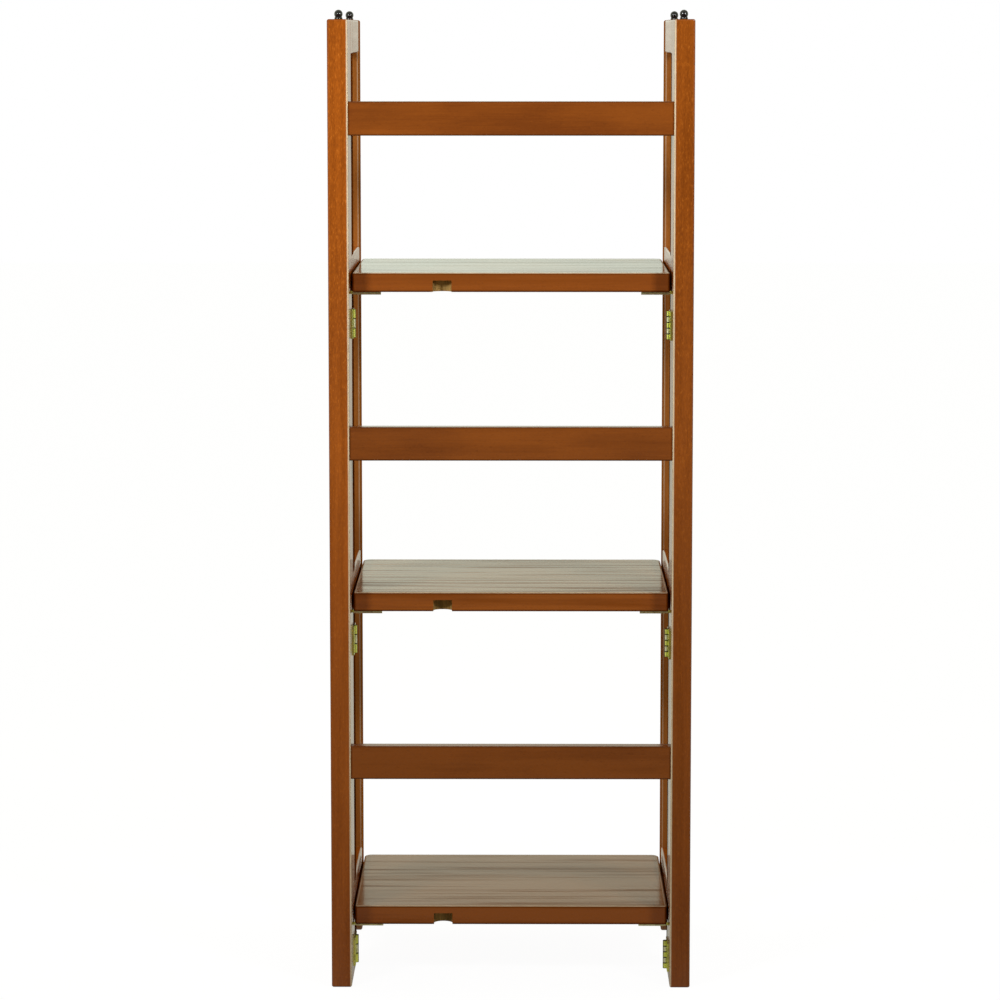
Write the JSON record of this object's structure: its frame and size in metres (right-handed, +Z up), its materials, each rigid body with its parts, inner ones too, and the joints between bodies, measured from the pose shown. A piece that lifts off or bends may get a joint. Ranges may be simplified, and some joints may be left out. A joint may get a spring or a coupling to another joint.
{
  "type": "folding bookcase",
  "caption": "Free-standing open bookcase in stained wood whose shelves pivot up against the slatted back so that its hinged side frames can fold flat.",
  "frame": {"origin": "on the floor under the middle of the bounding box", "axes": "+Z up, +X to the right in the picture, +Y away from the slatted back towards the open front"},
  "size_m": [0.3556, 0.2922, 0.9642],
  "materials": {
    "frame_wood": "satin stain",
    "slat_wood": "satin stain",
    "shelf_wood": "satin stain",
    "bare_wood": "unfinished",
    "brass": "bright plated",
    "screw_brass": "bright plated",
    "steel": "drawn",
    "black_peg": "gloss"
  },
  "bodies": {
    "case": {"hinge_screws": "screw_brass", "left_front_stile": "frame_wood", "left_hinge_pins": "steel", "left_hinge_stile": "frame_wood", "left_lower_post_leaf": "brass", "left_lower_rail": "frame_wood", "left_lower_rest": "brass", "left_lower_stile_leaf": "brass", "left_middle_post_leaf": "brass", "left_middle_rail": "frame_wood", "left_middle_rest": "brass", "left_middle_stile_leaf": "brass", "left_post": "frame_wood", "left_top_rail": "frame_wood", "left_upper_post_leaf": "brass", "left_upper_rail": "frame_wood", "left_upper_rest": "brass", "left_upper_stile_leaf": "brass", "lower_pivot_pins": "steel", "lower_slat": "slat_wood", "middle_pivot_pins": "steel", "middle_slat": "slat_wood", "rail_dowels": "bare_wood", "rest_screws": "screw_brass", "right_front_stile": "frame_wood", "right_hinge_pins": "steel", "right_hinge_stile": "frame_wood", "right_lower_post_leaf": "brass", "right_lower_rail": "frame_wood", "right_lower_rest": "brass", "right_lower_stile_leaf": "brass", "right_middle_post_leaf": "brass", "right_middle_rail": "frame_wood", "right_middle_rest": "brass", "right_middle_stile_leaf": "brass", "right_post": "frame_wood", "right_top_rail": "frame_wood", "right_upper_post_leaf": "brass", "right_upper_rail": "frame_wood", "right_upper_rest": "brass", "right_upper_stile_leaf": "brass", "slat_dowels": "bare_wood", "stacking_pegs": "black_peg", "upper_pivot_pins": "steel", "upper_slat": "slat_wood"},
    "lower_shelf": {"lower_pivot_screws": "screw_brass", "lower_shelf": "shelf_wood", "lower_shelf_left_pivot_leaf": "brass", "lower_shelf_right_pivot_leaf": "brass"},
    "middle_shelf": {"middle_pivot_screws": "screw_brass", "middle_shelf": "shelf_wood", "middle_shelf_left_pivot_leaf": "brass", "middle_shelf_right_pivot_leaf": "brass"},
    "upper_shelf": {"upper_pivot_screws": "screw_brass", "upper_shelf": "shelf_wood", "upper_shelf_left_pivot_leaf": "brass", "upper_shelf_right_pivot_leaf": "brass"}
  },
  "joints": [
    {"name": "lower_shelf_fold", "type": "hinge", "parent": "case", "child": "lower_shelf", "pos_m": [0, -0.10655, 0.0557], "axis": [1, 0, 0], "range_deg": [0, 90]},
    {"name": "middle_shelf_fold", "type": "hinge", "parent": "case", "child": "middle_shelf", "pos_m": [0, -0.10655, 0.3722], "axis": [1, 0, 0], "range_deg": [0, 90]},
    {"name": "upper_shelf_fold", "type": "hinge", "parent": "case", "child": "upper_shelf", "pos_m": [0, -0.10655, 0.6887], "axis": [1, 0, 0], "range_deg": [0, 90]}
  ]
}
